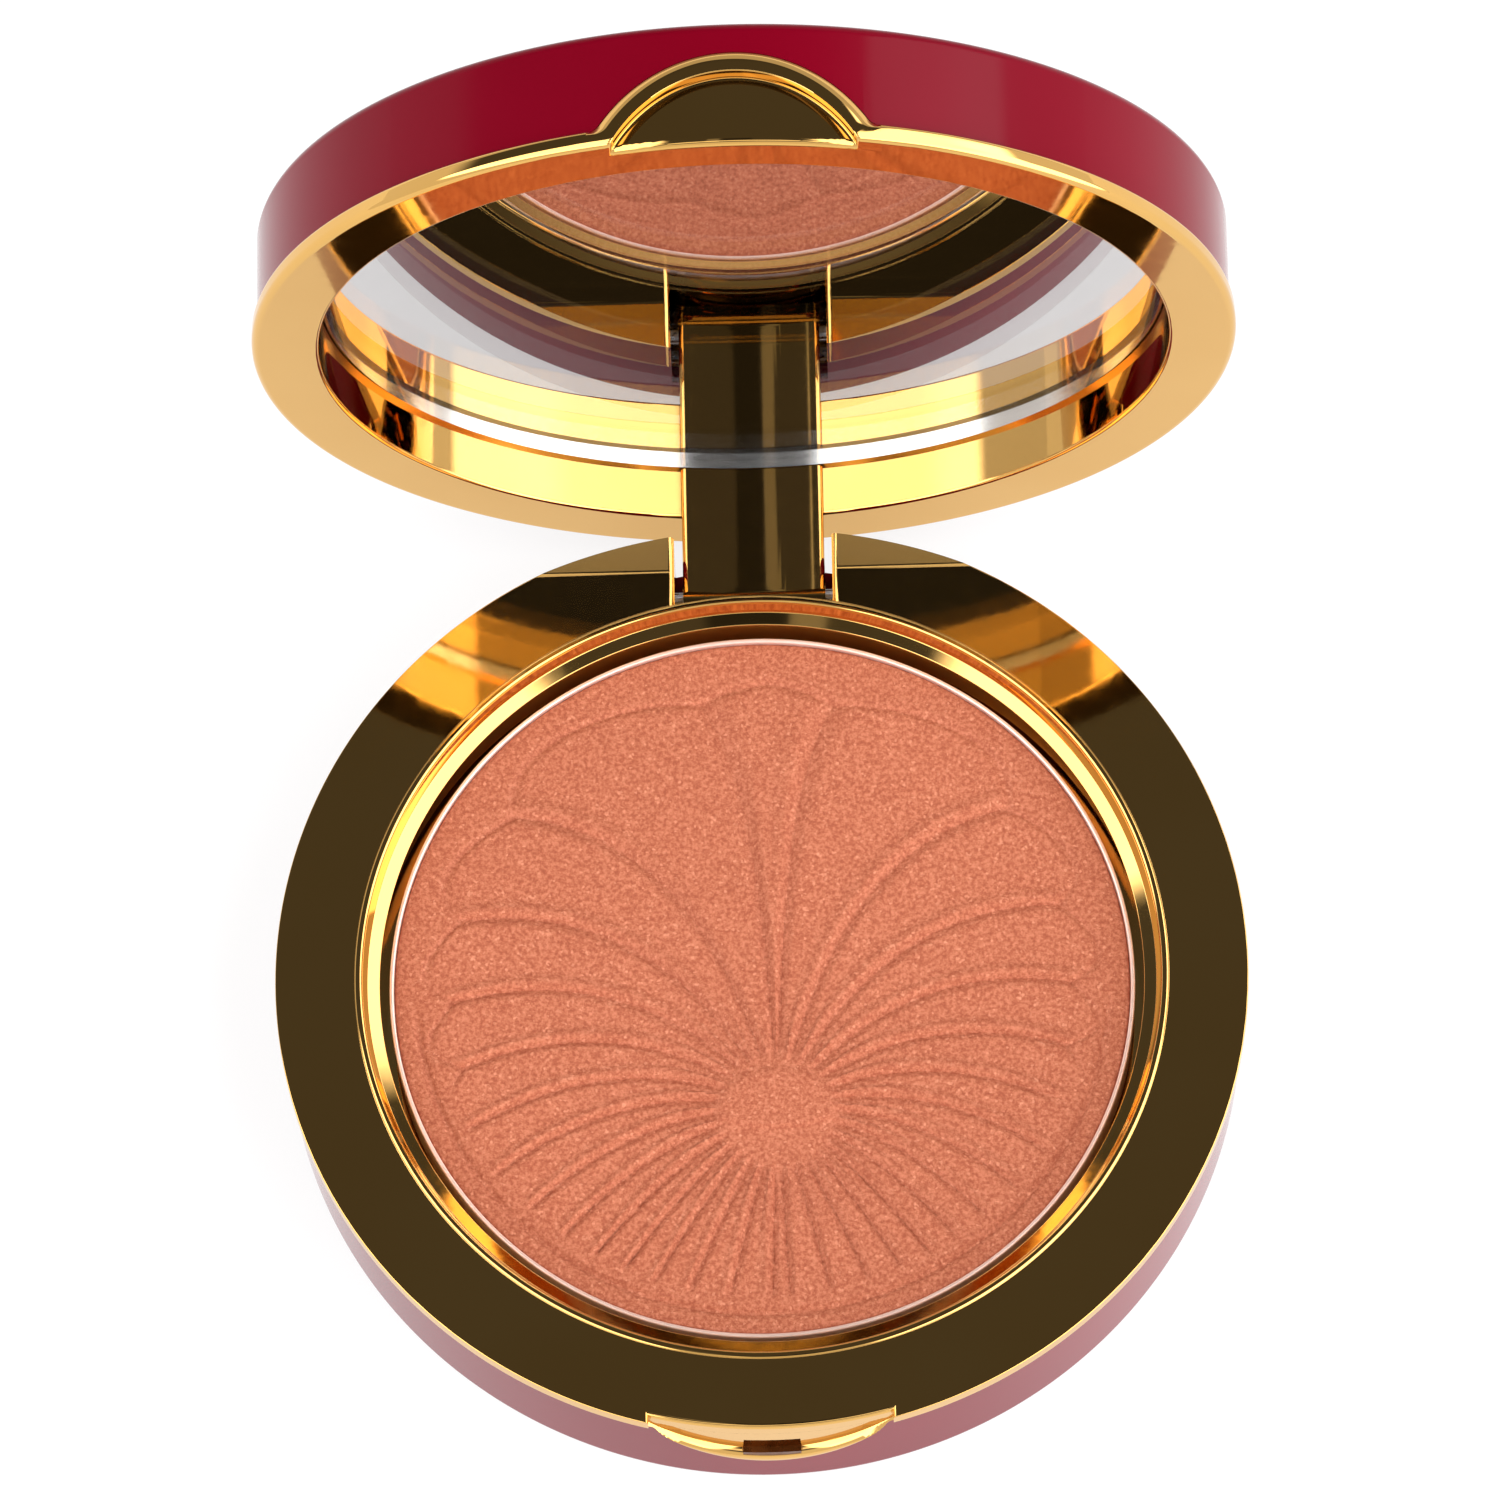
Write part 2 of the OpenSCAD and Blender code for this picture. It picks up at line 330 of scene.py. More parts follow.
def add_node(tree, kind, inputs=None, **settings):
    """A shader node. An input is a plain value or another node's output."""
    node = tree.nodes.new(kind)
    for key, value in settings.items():
        setattr(node, key, value)
    for key, value in (inputs or {}).items():
        if isinstance(value, bpy.types.NodeSocket):
            tree.links.new(value, node.inputs[key])
        else:
            node.inputs[key].default_value = value
    return node


def maths(tree, operation, a, b=0.0, c=0.0):
    """One step of arithmetic on values or node outputs."""
    node = add_node(tree, "ShaderNodeMath", {0: a, 1: b, 2: c}, operation=operation)
    return node.outputs[0]


def smooth_step(tree, value, start, end, low=0.0, high=1.0):
    """Blends from low to high as value goes from start to end."""
    node = add_node(
        tree, "ShaderNodeMapRange",
        {"Value": value, "From Min": start, "From Max": end, "To Min": low, "To Max": high},
        interpolation_type="SMOOTHSTEP",
    )
    return node.outputs["Result"]


def band(tree, value, middle, half_width):
    """1 within a band of values, falling softly to 0 at its sides."""
    off = maths(tree, "ABSOLUTE", maths(tree, "SUBTRACT", value, middle))
    return smooth_step(tree, off, half_width * 1.2, half_width * 0.8)


def product(tree, first, *others):
    """All the values multiplied together."""
    for other in others:
        first = maths(tree, "MULTIPLY", first, other)
    return first


def ramp(tree, value, stops):
    """A colour ramp through (position, colour) stops."""
    node = add_node(tree, "ShaderNodeValToRGB", {"Fac": value})
    elements = node.color_ramp.elements
    while len(elements) < len(stops):
        elements.new(0.5)
    for element, (position, colour) in zip(elements, stops):
        element.position = position
        element.color = (*colour, 1)
    return node.outputs["Color"]


def noise(tree, scale, detail=2.0, roughness=0.5):
    """Noise over the piece, with scale in cells per metre."""
    where = add_node(tree, "ShaderNodeTexCoord").outputs["Object"]
    node = add_node(
        tree, "ShaderNodeTexNoise",
        {"Vector": where, "Scale": scale, "Detail": detail, "Roughness": roughness},
    )
    return node.outputs["Fac"]


def bump(tree, height, depth, strength=1.0):
    """A bump whose full height is a depth in millimetres."""
    node = add_node(
        tree, "ShaderNodeBump", {"Height": height, "Distance": depth * MM, "Strength": strength}
    )
    return node.outputs["Normal"]


def new_material(name):
    """An empty material and its node tree."""
    material = bpy.data.materials.new(name)
    material.use_nodes = True
    material.node_tree.nodes.clear()
    return material, material.node_tree


def finish_material(material, tree, **surface):
    """Sets the shader's sockets by name, with underscores for spaces, and connects it."""
    inputs = {key.replace("_", " "): value for key, value in surface.items()}
    shader = add_node(tree, "ShaderNodeBsdfPrincipled", inputs)
    add_node(tree, "ShaderNodeOutputMaterial", {"Surface": shader.outputs[0]})
    return material


# --- Materials ------------------------------------------------------------------------------


def gold_material():
    """Mirror-bright gold plating with faint polishing marks."""
    material, tree = new_material("mirror_gold")
    tint = ramp(tree, noise(tree, 60), [(0.3, (0.74, 0.425, 0.12)), (0.7, (0.77, 0.455, 0.14))])
    haze = smooth_step(tree, noise(tree, 900, 4), 0.35, 0.75, 0.035, 0.06)
    return finish_material(
        material, tree,
        Base_Color=tint, Metallic=1.0, Roughness=haze,
        Normal=bump(tree, noise(tree, 420), 0.002),
    )


def lacquer_material():
    """Deep red lacquer under a clear gloss coat."""
    material, tree = new_material("red_lacquer")
    tint = ramp(tree, noise(tree, 45), [(0.3, (0.155, 0.0003, 0.008)), (0.7, (0.175, 0.0004, 0.01))])
    return finish_material(
        material, tree,
        Base_Color=tint, Roughness=0.3, Specular_IOR_Level=0.05,
        Coat_Weight=1.0, Coat_Roughness=0.03, Coat_IOR=1.13,
        Normal=bump(tree, noise(tree, 350), 0.003),
    )


def powder_material():
    """Pressed coral powder: fine grain and a scatter of pigment flakes whose sparkle is painted into
    the colour.
    """
    material, tree = new_material("pressed_powder")
    patches = ramp(
        tree, noise(tree, 3200, 6, 0.75),
        [(0.4, (0.305, 0.074, 0.0355)), (0.5, (0.40, 0.118, 0.060)), (0.6, (0.505, 0.168, 0.093))],
    )
    where = add_node(tree, "ShaderNodeTexCoord").outputs["Object"]
    flakes = add_node(
        tree, "ShaderNodeTexVoronoi", {"Vector": where, "Scale": 5200.0}
    )
    flake = add_node(tree, "ShaderNodeSeparateColor", {"Color": flakes.outputs["Color"]})
    # Flakes of shimmer pigment, with their sparkle painted in: a lighter coral mixed into the base
    # colour as painted glints
    painted_sparkle = smooth_step(tree, flake.outputs["Red"], 0.93, 1.0, 0.0, 0.5)
    colour = add_node(
        tree, "ShaderNodeMix", {0: painted_sparkle, 6: patches, 7: (0.72, 0.30, 0.18, 1)}, data_type="RGBA"
    )
    grain = maths(tree, "ADD", noise(tree, 6000, 3), noise(tree, 2200, 2))
    return finish_material(
        material, tree,
        Base_Color=colour.outputs[2], Roughness=0.7, Specular_IOR_Level=0.2,
        Normal=bump(tree, grain, 0.04),
    )


def pan_material():
    """Drawn aluminium, tinted peach as a painted reflection of the powder around it."""
    material, tree = new_material("pan_aluminium")
    # The peach tint is a painted reflection of the coral powder, not the metal's own colour
    peach_reflection = ramp(tree, noise(tree, 500, 3), [(0.3, (0.88, 0.66, 0.58)), (0.7, (0.90, 0.60, 0.50))])
    return finish_material(
        material, tree,
        Base_Color=peach_reflection, Metallic=0.5,
        Roughness=smooth_step(tree, noise(tree, 300), 0.3, 0.7, 0.3, 0.36),
    )


def silver_material():
    """The mirror's silvering."""
    material, tree = new_material("silvering")
    tint = ramp(tree, noise(tree, 30), [(0.3, (0.66, 0.65, 0.655)), (0.7, (0.68, 0.67, 0.675))])
    return finish_material(material, tree, Base_Color=tint, Metallic=1.0, Roughness=0.0)


def glass_material():
    """Clear float glass."""
    material, tree = new_material("mirror_glass")
    tint = ramp(tree, noise(tree, 40), [(0.3, (0.985, 0.99, 0.985)), (0.7, (1.0, 1.0, 1.0))])
    return finish_material(
        material, tree, Base_Color=tint, Roughness=0.0, IOR=1.52, Transmission_Weight=1.0,
        Specular_IOR_Level=0.0,
    )


def glass_edge_material():
    """The ground edge and bevel of the glass, which catch the light."""
    material, tree = new_material("glass_edge")
    tint = ramp(tree, noise(tree, 90), [(0.3, (0.86, 0.86, 0.85)), (0.7, (0.92, 0.92, 0.91))])
    return finish_material(
        material, tree, Base_Color=tint, Metallic=0.9,
        Roughness=smooth_step(tree, noise(tree, 200), 0.3, 0.7, 0.12, 0.16),
    )


def bronze_material():
    """Dark bronze of the latch catch."""
    material, tree = new_material("dark_bronze")
    tint = ramp(tree, noise(tree, 500), [(0.3, (0.10, 0.028, 0.006)), (0.7, (0.17, 0.055, 0.012))])
    return finish_material(
        material, tree, Base_Color=tint, Metallic=0.8,
        Roughness=smooth_step(tree, noise(tree, 900), 0.3, 0.7, 0.2, 0.35),
    )


def steel_material():
    """Drawn steel of the hinge pin."""
    material, tree = new_material("drawn_steel")
    tint = ramp(tree, noise(tree, 900), [(0.3, (0.55, 0.55, 0.56)), (0.7, (0.66, 0.66, 0.67))])
    return finish_material(
        material, tree, Base_Color=tint, Metallic=1.0,
        Roughness=smooth_step(tree, noise(tree, 2500), 0.3, 0.7, 0.22, 0.36),
    )


def adhesive_material():
    """Soft adhesive pad."""
    material, tree = new_material("adhesive_pad")
    tint = ramp(tree, noise(tree, 1200, 4), [(0.3, (0.48, 0.48, 0.43)), (0.7, (0.6, 0.6, 0.54))])
    return finish_material(
        material, tree, Base_Color=tint, Roughness=0.7, Normal=bump(tree, noise(tree, 3000), 0.03)
    )


def floor_material():
    """Plain white studio floor."""
    material, tree = new_material("studio_floor")
    tint = ramp(tree, noise(tree, 6), [(0.3, (0.19, 0.19, 0.19)), (0.7, (0.21, 0.21, 0.21))])
    return finish_material(
        material, tree, Base_Color=tint, Roughness=0.9, Specular_IOR_Level=0.1,
        Emission_Color=(1, 1, 1, 1), Emission_Strength=0.8,
    )


# --- The thumb recess, half in the base and half in the lid ---------------------------------


class Recess:
    """A D-shaped recess on the case wall, seen from the front.

    up is 1 where it rises from a rim and -1 where it hangs below one. Its outline is the arc of
    a circle that flares into the seam between the gold rim and the lacquered shell.
    """

    def __init__(self, rim_z, tip_z, half_w, seam_z, flare, field=None):
        self.up = 1 if tip_z > rim_z else -1
        self.rim_z = rim_z
        self.seam_z = seam_z
        self.flare = flare
        rise = abs(tip_z - rim_z)
        self.radius = (half_w**2 + rise**2) / (2 * rise)
        self.centre_z = tip_z - self.up * self.radius
        # The flare's arc touches the circle from outside and the seam from the shell's side
        flare_z = seam_z + self.up * flare
        self.flare_x = math.sqrt((self.radius + flare) ** 2 - (flare_z - self.centre_z) ** 2)
        self.flare_angle = math.atan2(self.flare_x, self.up * (flare_z - self.centre_z))
        self.end_angle = math.atan2(self.flare_x, self.up * (rim_z - self.centre_z))
        # The border's inner side is the same circle, unless the field has its own half width and rise
        self.field_radius, self.field_centre = self.radius, 0.0
        if field:
            self.field_radius = (field[0] ** 2 + field[1] ** 2) / (2 * field[1])
            self.field_centre = self.up * (rim_z - self.centre_z) + field[1] - self.field_radius

    def outer(self, angle):
        """Distance of the outline from the circle's centre, at an angle from its tip."""
        angle = abs(angle)
        if angle <= self.flare_angle:
            return self.radius
        direction = (math.sin(angle), math.cos(angle))
        to_flare = (self.flare_x, self.up * (self.seam_z - self.centre_z) + self.flare)
        along = direction[0] * to_flare[0] + direction[1] * to_flare[1]
        apart = to_flare[0] ** 2 + to_flare[1] ** 2 - along**2
        if apart < self.flare**2:
            reach = along - math.sqrt(self.flare**2 - apart)
            if reach * direction[0] < self.flare_x:
                return reach
        return self.flare_x / direction[0]

    def edge(self, angle):
        """The same as outer, but run on along the seam where the outline turns down to the rim."""
        along_seam = self.up * (self.seam_z - self.centre_z) / math.cos(angle)
        return max(self.outer(angle), along_seam if abs(angle) > self.flare_angle else 0)

    def field(self, angle, distance):
        """Distance of the border's inner circle, drawn in by a distance, from the circle's centre."""
        radius = self.field_radius - distance
        across = self.field_centre * math.sin(angle)
        return self.field_centre * math.cos(angle) + np.sqrt(radius**2 - across**2)

    def past_flare(self, angle):
        """How far an angle lies between the start of the flare, 0, and the outline's end, 1."""
        return max(0, (abs(angle) - self.flare_angle) / (self.end_angle - self.flare_angle))

    def inner(self, angle):
        """Distance of the rim plane from the circle's centre, at an angle from its tip."""
        return self.up * (self.rim_z - self.centre_z) / math.cos(angle)

    def point(self, angle, reach):
        """(x, z) at a distance and an angle from the circle's centre."""
        return reach * math.sin(angle), self.centre_z + self.up * reach * math.cos(angle)

    def cutter(self, name, grow, in_r):
        """The prism that makes room for the recess in a wall, down to a radius."""
        angles = np.linspace(-self.end_angle, self.end_angle, 161)
        outline = [self.point(a, self.outer(a) + grow) for a in angles]
        beyond = self.rim_z - self.up * OVER
        outline += [(self.flare_x, beyond), (-self.flare_x, beyond)]
        prism = extrude(name, np.array(outline), -CASE_R - OVER, -CASE_R / 2, 1)
        low, high = sorted((beyond - self.up * OVER, self.centre_z + self.up * (self.radius + OVER)))
        return carve(prism, drum("core", in_r, low - OVER, high + OVER))


def rounded_edge(radius, top_r, steps=6):
    """Section of a rounded edge, as (distance in from its side, radius on the case)."""
    turn = np.linspace(0, math.pi / 2, steps + 1)
    return [(radius * (1 - math.cos(t)), top_r - radius * (1 - math.sin(t))) for t in turn]


def recess_insert(name, recess, outer_edge, end_edge, inner_edge, rim_round):
    """The gold insert that lines a recess: a raised border round a sunken field.

    Each edge is a section of (distance in, radius on the case). The outer edge turns into the end
    edge along the flare. The inner edge is measured from the border's inner circle.
    """
    outer_in, outer_r = np.array(outer_edge).T
    end_in, end_r = np.array(end_edge).T
    inner_in, inner_r = np.array(inner_edge).T
    top_r = outer_r.max()
    rim_in, rim_r = np.array(rounded_edge(rim_round or 0.01, top_r)).T
    angles = recess.end_angle * np.sin(np.linspace(-math.pi / 2, math.pi / 2, 221))
    front, back = [], []
    for angle in angles:
        outer, inner, edge = recess.outer(angle), recess.inner(angle), recess.edge(angle)
        field = recess.field(angle, inner_in)
        reach = np.concatenate([
            edge - outer_in, field, np.linspace(field[-1], inner, 10), inner + rim_in / math.cos(angle)
        ])
        reach = np.sort(np.clip(reach, inner, outer))[::-1]
        x, z = recess.point(angle, reach)
        end = recess.past_flare(angle)
        outside = np.interp(edge - reach, outer_in, outer_r) * (1 - end)
        outside += np.interp(edge - reach, end_in, end_r) * end
        surface = np.minimum(outside, np.interp(-reach, -field, inner_r))
        if rim_round:
            surface = surface - top_r + np.interp(abs(z - recess.rim_z), rim_in, rim_r)
        front.append(np.column_stack([x, -np.sqrt(surface**2 - x**2), z]))
        back.append(np.column_stack([x, -np.sqrt(INSERT_IN_R**2 - x**2), z]))
    rows, columns = len(front), len(front[0])
    count = rows * columns
    faces = grid_faces(rows, columns)
    faces += [tuple(count + i for i in face) for face in faces]
    border = grid_border(rows, columns)
    faces += [(a, b, count + b, count + a) for a, b in zip(border, border[1:] + border[:1])]
    obj = mesh_object(name, np.concatenate(front + back), faces)
    shade(obj)
    return obj


SCOOP = Recess(
    SEAM_Z, box("base_thumb_scoop")[0].z, box("base_thumb_scoop")[1].x, SEAM_Z, 2.0,
    (SCOOP_CUT_HALF_W, 3.5),
)
PLATE = Recess(
    LID_RIM_Z, shut_box("lid_thumb_plate")[1].z, shut_box("lid_thumb_plate")[1].x, LID_SEAM_Z, 1.2
)


def base_thumb_scoop():
    """The base's half of the recess: a narrow lip with a shelf, below a field that is set back."""
    shelf = [(-3, CASE_R), (-0.45, CASE_R), (-0.36, CASE_R - 0.05), (-0.02, SCOOP_FIELD_R + 0.04),
             (0, SCOOP_FIELD_R - 0.12), (0.1, SCOOP_FIELD_R - 0.12), (0.14, SCOOP_FIELD_R),
             (0.3, SCOOP_FIELD_R)]
    lip = rounded_edge(0.3, CASE_R)
    obj = recess_insert("base_thumb_scoop_gold", SCOOP, lip, lip, shelf, 0)
    place(obj, "base", [GOLD], ["base_thumb_scoop"])


def lid_thumb_plate():
    """The lid's half of the recess, with a raised border that slopes off outside."""
    border_w = 1.7
    slope = [(0, CASE_R - 0.48), (0.08, CASE_R - 0.40), (0.7, CASE_R - 0.03), (0.8, CASE_R)]
    wall = [(-3, CASE_R), (border_w - 0.12, CASE_R), (border_w - 0.04, CASE_R - 0.04),
            (border_w, CASE_R - 0.12), (border_w + 0.03, FIELD_R + 0.05), (border_w + 0.1, FIELD_R),
            (border_w + 0.3, FIELD_R)]
    rim = rounded_edge(LID_RIM_ROUND[1], CASE_R)
    obj = recess_insert("lid_thumb_plate_gold", PLATE, slope, rim, wall, LID_RIM_ROUND[0])
    place(obj, "lid", [GOLD], ["lid_thumb_plate"])


# --- The base -------------------------------------------------------------------------------


def shell_outline(height):
    """Section of a lacquered cup that stands on z = 0 and is open at the top."""
    inner = SHELL_R - SHELL_WALL
    return rounded([(0, 0), (SHELL_R, 0, SHELL_ROUND), (SHELL_R, height, 0.1), (inner, height),
                    (inner, SHELL_FLOOR, 0.4), (0, SHELL_FLOOR)], 8)


def notch_cutter(edge):
    """The room for the lid's tongue at the back of the base, with rounded upper edges."""
    behind = CASE_R + OVER
    stations = [(0, BASE_H), (AXIS_Y, BASE_H), (behind, BASE_H - RELIEF_SLOPE * (behind - AXIS_Y))]
    tool = slot_cutter("notch", NOTCH_HALF_W, edge, NOTCH_FLOOR_Z, stations)
    return carve(tool, drum("core", WELL_OUT_R, NOTCH_FLOOR_Z - OVER, BASE_H + 2 * OVER))


def pin_bore(half_length, radius):
    """The cutter for the hinge pin's bore, along X."""
    turn = np.linspace(0, 2 * math.pi, 48, endpoint=False)
    outline = np.column_stack([AXIS_Y + radius * np.cos(turn), AXIS_Z + radius * np.sin(turn)])
    return extrude("bore", outline, -half_length, half_length, 0)


def base_shell():
    """The lacquered cup of the base, cut away for the scoop and the tongue."""
    obj = lathe("base_lacquer_shell", shell_outline(SEAM_Z))
    carve(obj, SCOOP.cutter("scoop", 0.02, SHELL_R / 2))
    carve(obj, notch_cutter(0.05))
    merge_flats(obj)
    shade(obj)
    place(obj, "base", [LACQUER], ["base_shell"])


def base_frame_outline():
    """Section of the gold frame: flange, bead, sloping ledge, well, and a ring inside the shell."""
    bead_r, bead_top = 0.25, BASE_H + 0.12
    bead_in_r = WELL_OUT_R - 2 * bead_r
    bead = [(WELL_OUT_R, BASE_H, 0.05), (WELL_OUT_R - 0.05, bead_top, bead_r),
            (bead_in_r - 0.1, bead_top, bead_r), (bead_in_r - 0.12, BASE_H - 0.3)]
    inner_spigot = SPIGOT_R - SPIGOT_T
    return rounded([
        (0, WELL_FLOOR_Z), (0, WELL_FLOOR_Z - WELL_FLOOR_T), (WELL_OUT_R, WELL_FLOOR_Z - WELL_FLOOR_T),
        (WELL_OUT_R, SEAM_Z), (inner_spigot, SEAM_Z), (inner_spigot, SEAM_Z - SPIGOT_H),
        (SPIGOT_R, SEAM_Z - SPIGOT_H), (SPIGOT_R, SEAM_Z), (CASE_R, SEAM_Z, 0.3),
        (CASE_R, BASE_H, 0.08), *bead, (LEDGE_R, LEDGE_Z, 0.12), (WELL_R, LEDGE_Z - LEDGE_SLOPE, 0.1),
        (WELL_R, WELL_FLOOR_Z)])


def hinge_cheeks():
    """The block behind the well that carries the hinge pin."""
    low = SHELL_FLOOR + 0.1
    tool = drum("cheeks", SPIGOT_R - 0.05, low, SEAM_Z + 0.2)
    limits = block("limits", (-PIN_HALF_L, 0, low), (PIN_HALF_L, CASE_R, SEAM_Z + 0.1))
    carve(tool, limits, "INTERSECT")
    return carve(tool, drum("core", (WELL_R + WELL_OUT_R) / 2, 0, BASE_H))


def relief_cutter():
    """A wedge that slopes the flange down behind the hinge axis, so that the lid can swing."""
    behind = CASE_R + 4 * OVER
    surface = rounded([(AXIS_Y - 1, BASE_H), (AXIS_Y, BASE_H, 1.5),
                       (behind, BASE_H - RELIEF_SLOPE * (behind - AXIS_Y))], 4, closed=False)[1:]
    surface[0][1] += LIFT
    outline = [*surface, (behind, BASE_H + OVER), (surface[0][0], BASE_H + OVER)]
    return extrude("relief", np.array(outline), -CASE_R, CASE_R, 0)


def scoop_rim_cutter():
    """The step in the rim above the scoop, with rounded edges."""
    low, beyond = SEAM_Z - OVER, CASE_R + OVER
    outline = [(beyond, low), (SCOOP_FIELD_R, low), *rounded_side(SCOOP_FIELD_R, -0.4, BASE_H),
               (beyond, BASE_H + OVER)]
    stations = [(-beyond - OVER, BASE_H), (0, BASE_H)]
    ends = slot_cutter("ends", SCOOP_CUT_HALF_W, 0.25, low - OVER, stations)
    return carve(lathe("step", outline), ends, "INTERSECT")


def base_frame():
    """The gold frame of the base, with the hinge's cheeks, notch and bore."""
    obj = lathe("base_gold_frame", base_frame_outline())
    carve(obj, hinge_cheeks(), "UNION")
    carve(obj, relief_cutter())
    carve(obj, notch_cutter(0.5))
    carve(obj, scoop_rim_cutter())
    carve(obj, pin_bore(PIN_HALF_L + OVER, PIN_R))
    merge_flats(obj)
    shade(obj)
    place(obj, "base", [GOLD], ["base_frame"])


def powder_pan():
    """The thin pan, with a rounded foot and lip."""
    outline = rounded([
        (0, PAN_LOW), (PAN_R, PAN_LOW, 0.6), (PAN_R, PAN_TOP, PAN_T * 0.45),
        (PAN_R - PAN_T, PAN_TOP, PAN_T * 0.45), (PAN_R - PAN_T, PAN_LOW + PAN_T, 0.4),
        (0, PAN_LOW + PAN_T)])
    obj = lathe("aluminium_pan", outline)
    shade(obj)
    place(obj, "base", [PAN], ["powder_pan"])


# --- The powder's pressed relief ------------------------------------------------------------

# The hub, which the ribs spread out from
HUB_X, HUB_Y = 1.0, -10.5
HUB_R = 4.1
RIB_STEP = math.radians(12.5)
# The leaves between the ribs: where they start, how they bend, and where their bowed tips end
LEAF_IN_R = 4.7
LEAF_BEND = math.radians(1.35)
LEAF_TIP_R, LEAF_BOW = 24.2, 2.2
# The fan's lower edge, and the line pressed round its lower half
FAN_LOW_R = 25.6
BORDER_R = 27.1
GROOVE_W = 0.3
RELIEF = 0.28
# How far the plain face lies below the CAD node's top, and how the cake's edge falls away
FACE_DROP = 0.12
EDGE_DROP, EDGE_W = 0.2, 0.25


def groove(distance, width):
    """Depth of a soft groove, from 1 along its middle to 0."""
    return np.exp(-((distance / width) ** 2))


def above(value, edge, softness):
    """Blends from 0 to 1 as a value passes an edge."""
    return 1 / (1 + np.exp(-(value - edge) / softness))


def powder_height(x, y):
    """Height of the pressed pattern: a generic fan of curved leaves that rise from a half disc."""
    side, rise = np.abs(x - HUB_X), y - HUB_Y
    reach = np.hypot(side, rise)
    bend = LEAF_BEND * np.clip(reach - 4, 0, None)
    angle = np.arctan2(rise, side)
    turned = np.where(rise > 0, angle + bend * np.cos(angle), angle + bend * above(angle, -0.8, 0.15))
    leaf = turned / RIB_STEP
    off_rib = (leaf - np.round(leaf)) * RIB_STEP * reach
    from_centre = np.hypot(x, y)
    bowed = LEAF_TIP_R + LEAF_BOW * np.abs(np.sin(leaf * math.pi))
    crown = np.where(rise > 0, bowed, FAN_LOW_R)
    on_fan = above(crown, from_centre, 0.22) * above(reach, LEAF_IN_R, 0.25)
    # Each rib is a groove with a raised line beside it
    ribs = -groove(off_rib, 0.27) + 0.7 * groove(off_rib - 0.62, 0.4)
    scallop = groove(from_centre - crown, GROOVE_W) * above(rise, 3, 0.5)
    bulge = 0.4 * (leaf - np.floor(leaf)) - 0.2
    hub_reach = np.hypot(side / 1.15, np.where(rise > 0, rise * 1.15, rise * 3.2))
    hub = above(HUB_R, hub_reach, 0.16)
    border = groove(from_centre - BORDER_R, GROOVE_W) * above(-2.0, y, 0.6)
    return RELIEF * (on_fan * (ribs + bulge) + 0.75 * hub - 1.15 * border - 0.7 * scallop)


def pressed_powder():
    """A disc whose top carries the pressed pattern, on a grid that is even over the disc."""
    count = 401
    u, v = np.meshgrid(np.linspace(-1, 1, count), np.linspace(-1, 1, count))
    x = u * np.sqrt(1 - v**2 / 2) * POWDER_R
    y = v * np.sqrt(1 - u**2 / 2) * POWDER_R
    edge = POWDER_R - np.hypot(x, y)
    z = POWDER_TOP - FACE_DROP + powder_height(x, y) - EDGE_DROP * np.exp(-edge / EDGE_W)
    top = np.column_stack([x.ravel(), y.ravel(), z.ravel()])
    faces = grid_faces(count, count)
    border = grid_border(count, count)
    bottom = top[border].copy()
    bottom[:, 2] = POWDER_LOW
    below = [len(top) + i for i in range(len(border))]
    sides = zip(border, border[1:] + border[:1], below[1:] + below[:1], below)
    faces += [*sides, below]
    obj = mesh_object("pressed_powder_relief", np.concatenate([top, bottom]), faces)
    shade(obj, 60)
    place(obj, "base", [POWDER], ["pressed_powder"])


# --- The lid, shut --------------------------------------------------------------------------


def lid_shell():
    """The lacquered cover of the lid: the same cup as the base's, upside down."""
    outline = shell_outline(LID_TOP_Z - LID_SEAM_Z)
    outline[:, 1] = LID_TOP_Z - outline[:, 1]
    obj = lathe("lid_lacquer_shell", outline)
    carve(obj, PLATE.cutter("plate", 0.02, SHELL_R / 2))
    merge_flats(obj)
    shade(obj)
    place(obj, "lid", [LACQUER], ["lid_shell"])


def lid_frame_outline():
    """Section of the gold lid frame: rim, inner wall, cup behind the mirror, and spigot."""
    inner_spigot = SPIGOT_R - SPIGOT_T
    spigot_top = LID_SEAM_Z + SPIGOT_H
    roof = LID_TOP_Z - SHELL_FLOOR
    return rounded([
        (0, SEAT_Z), (MOUTH_R, SEAT_Z), (MOUTH_R, LID_RIM_Z, 0.3),
        (CASE_R, LID_RIM_Z, LID_RIM_ROUND[0]), (CASE_R, LID_SEAM_Z, LID_RIM_ROUND[1]),
        (SPIGOT_R, LID_SEAM_Z), (SPIGOT_R, spigot_top), (inner_spigot, spigot_top),
        (inner_spigot, LID_SEAM_Z), (LID_CUP_R, LID_SEAM_Z), (LID_CUP_R, roof), (0, roof)])


def tongue_outline(back):
    """Seen from above: a hollow front face with rounded corners, and a straight back."""
    x = np.linspace(-TONGUE_HALF_W, TONGUE_HALF_W, 25)
    y = np.sqrt(TONGUE_IN_R**2 - x**2)
    corner = 0.45
    front = [(px, py) for px, py in zip(x, y) if abs(px) < TONGUE_HALF_W - corner - 0.05]
    return rounded([(-TONGUE_HALF_W, back), (-TONGUE_HALF_W, y[0], corner), *front,
                    (TONGUE_HALF_W, y[-1], corner), (TONGUE_HALF_W, back)])


